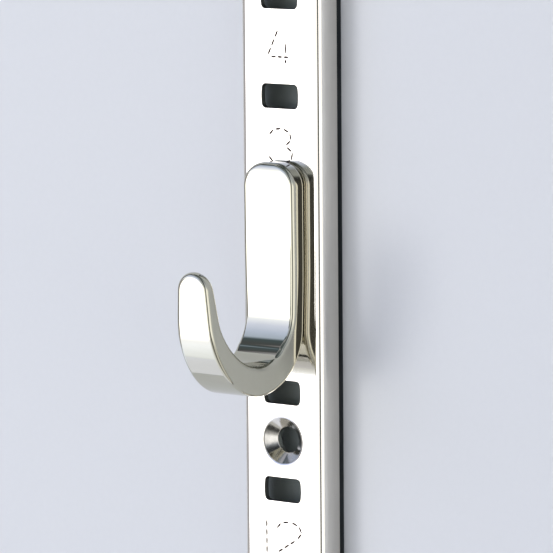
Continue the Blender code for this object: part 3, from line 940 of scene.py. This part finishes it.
low_height = ramp_of(height, heights(
    (-90, (1.15, 1.20, 1.40)), (-62, (1.20, 1.25, 1.45)), (-50, (1.40, 1.45, 1.75)),
    (-36, (1.70, 1.90, 2.45)), (-27, (0, 0, 0)), (90, (0, 0, 0))))
low_turn = ramp_of(turn, compass((-180, 0.7), (-120, 1), (-50, 1), (-30, 0), (180, 0)))
high_height = ramp_of(height, heights(
    (-90, (0, 0, 0)), (52.8, (0, 0, 0)), (54, (0.60, 0.61, 0.72)), (60, (0.60, 0.62, 0.70)),
    (62, (0, 0, 0)), (90, (0, 0, 0))))
high_turn = ramp_of(turn, compass((-180, 0), (-125, 0), (-110, 1), (-62, 1), (-50, 0),
                                  (180, 0)))
core_height = ramp_of(height, [((h + 90) / 180, (b, b, b)) for h, b in (
    (-90, 0), (-35, 0), (-30, 0.5), (-22, 1), (2, 1), (6, 0.4), (10, 0), (90, 0))])
core_turn = ramp_of(turn, compass((-180, 0), (-50, 0), (-46, 0.5), (-39, 1.0), (-8, 1.0),
                                  (8, 0.0)))
print("ramps in the room:", sum(n.type == "VALTORGB" for n in tree.nodes))

# %% [markdown]
# ## Mixing the patches
# The room is the whole room with the left side mixed in. A patch that is only
# ever brighter is laid on with LIGHTEN, and the core, the brightest area, which
# lies to the front left and mostly below eye height, is added on top.

# %% Mix the room
dimmed = blend("MULTIPLY", 1.0, rest, around)
doubled = blend("ADD", 1.0, dimmed, dimmed)
room_light = blend("MIX", left, doubled, skirt)
room_light = blend("LIGHTEN", 1.0, room_light, blend("MULTIPLY", 1.0, low_height, low_turn))
room_light = blend("LIGHTEN", 1.0, room_light, blend("MULTIPLY", 1.0, high_height, high_turn))
core = blend("MULTIPLY", 1.0, core_height, core_turn)
core_scaled = add(tree, "ShaderNodeVectorMath", operation="SCALE")
core_scaled.inputs["Scale"].default_value = CORE_BRIGHTNESS / LIGHT
tree.links.new(core, core_scaled.inputs[0])
whole = blend("ADD", 1.0, room_light, core_scaled.outputs[0])
tree.links.new(whole, sky.inputs["Color"])
sky.inputs["Strength"].default_value = LIGHT * 0.86
print("room strength", round(LIGHT * 0.86, 2))

# %% [markdown]
# ## One soft box
# The room alone gives no shadow with a direction. A large, weak soft box to the
# left lays a faint shadow of the hook on the wall. Mirrors don't show it, so the
# reflections stay those of the room.

# %% The soft box
lamp = bpy.data.lights.new("soft_box", "AREA")
lamp.energy = 3.6
lamp.size = 0.35
soft_box = bpy.data.objects.new("soft_box", lamp)
side, drop, away = math.radians(-31), math.radians(-8), 1.2
toward = Vector((math.sin(side) * math.cos(drop), -math.cos(side) * math.cos(drop),
                 math.sin(drop)))
soft_box.location = toward * away + Vector((0, 0, 0.03))
soft_box.rotation_euler = toward.to_track_quat("Z", "Y").to_euler()
soft_box.visible_camera = False
soft_box.visible_glossy = False
bpy.context.scene.collection.objects.link(soft_box)
print("soft box", lamp.energy, "W")

# %% [markdown]
# ## The camera
# A long lens stands to the right and a little above the rail, and looks at the
# hook. The plain view transform keeps the whites clean.

# %% Camera
AZIMUTH = math.radians(36.504)
ELEVATION = math.radians(7.491)
ROLL = math.radians(-0.466)
DISTANCE = 0.9145
target = Vector((-1.15 * MM, FACE_Y, 33.49 * MM))
look = -Vector((math.sin(AZIMUTH) * math.cos(ELEVATION),
                -math.cos(AZIMUTH) * math.cos(ELEVATION), math.sin(ELEVATION)))
right = Vector((math.cos(AZIMUTH), math.sin(AZIMUTH), 0))
up = right.cross(look)
right, up = (right * math.cos(ROLL) + up * math.sin(ROLL),
             up * math.cos(ROLL) - right * math.sin(ROLL))
lens = bpy.data.cameras.new("camera")
lens.lens = 295.4
lens.sensor_width = 36
lens.clip_start = 0.01
camera = bpy.data.objects.new("camera", lens)
stand = Matrix((right, up, -look)).transposed().to_4x4()
stand.translation = target - look * DISTANCE
camera.matrix_world = stand
bpy.context.scene.collection.objects.link(camera)
bpy.context.scene.camera = camera
bpy.context.scene.view_settings.view_transform = "Standard"
print("camera stands", round(DISTANCE, 3), "m from", tuple(round(c, 4) for c in target))

# %% Measure the finished pieces
low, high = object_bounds()
print("visual box", low, high)
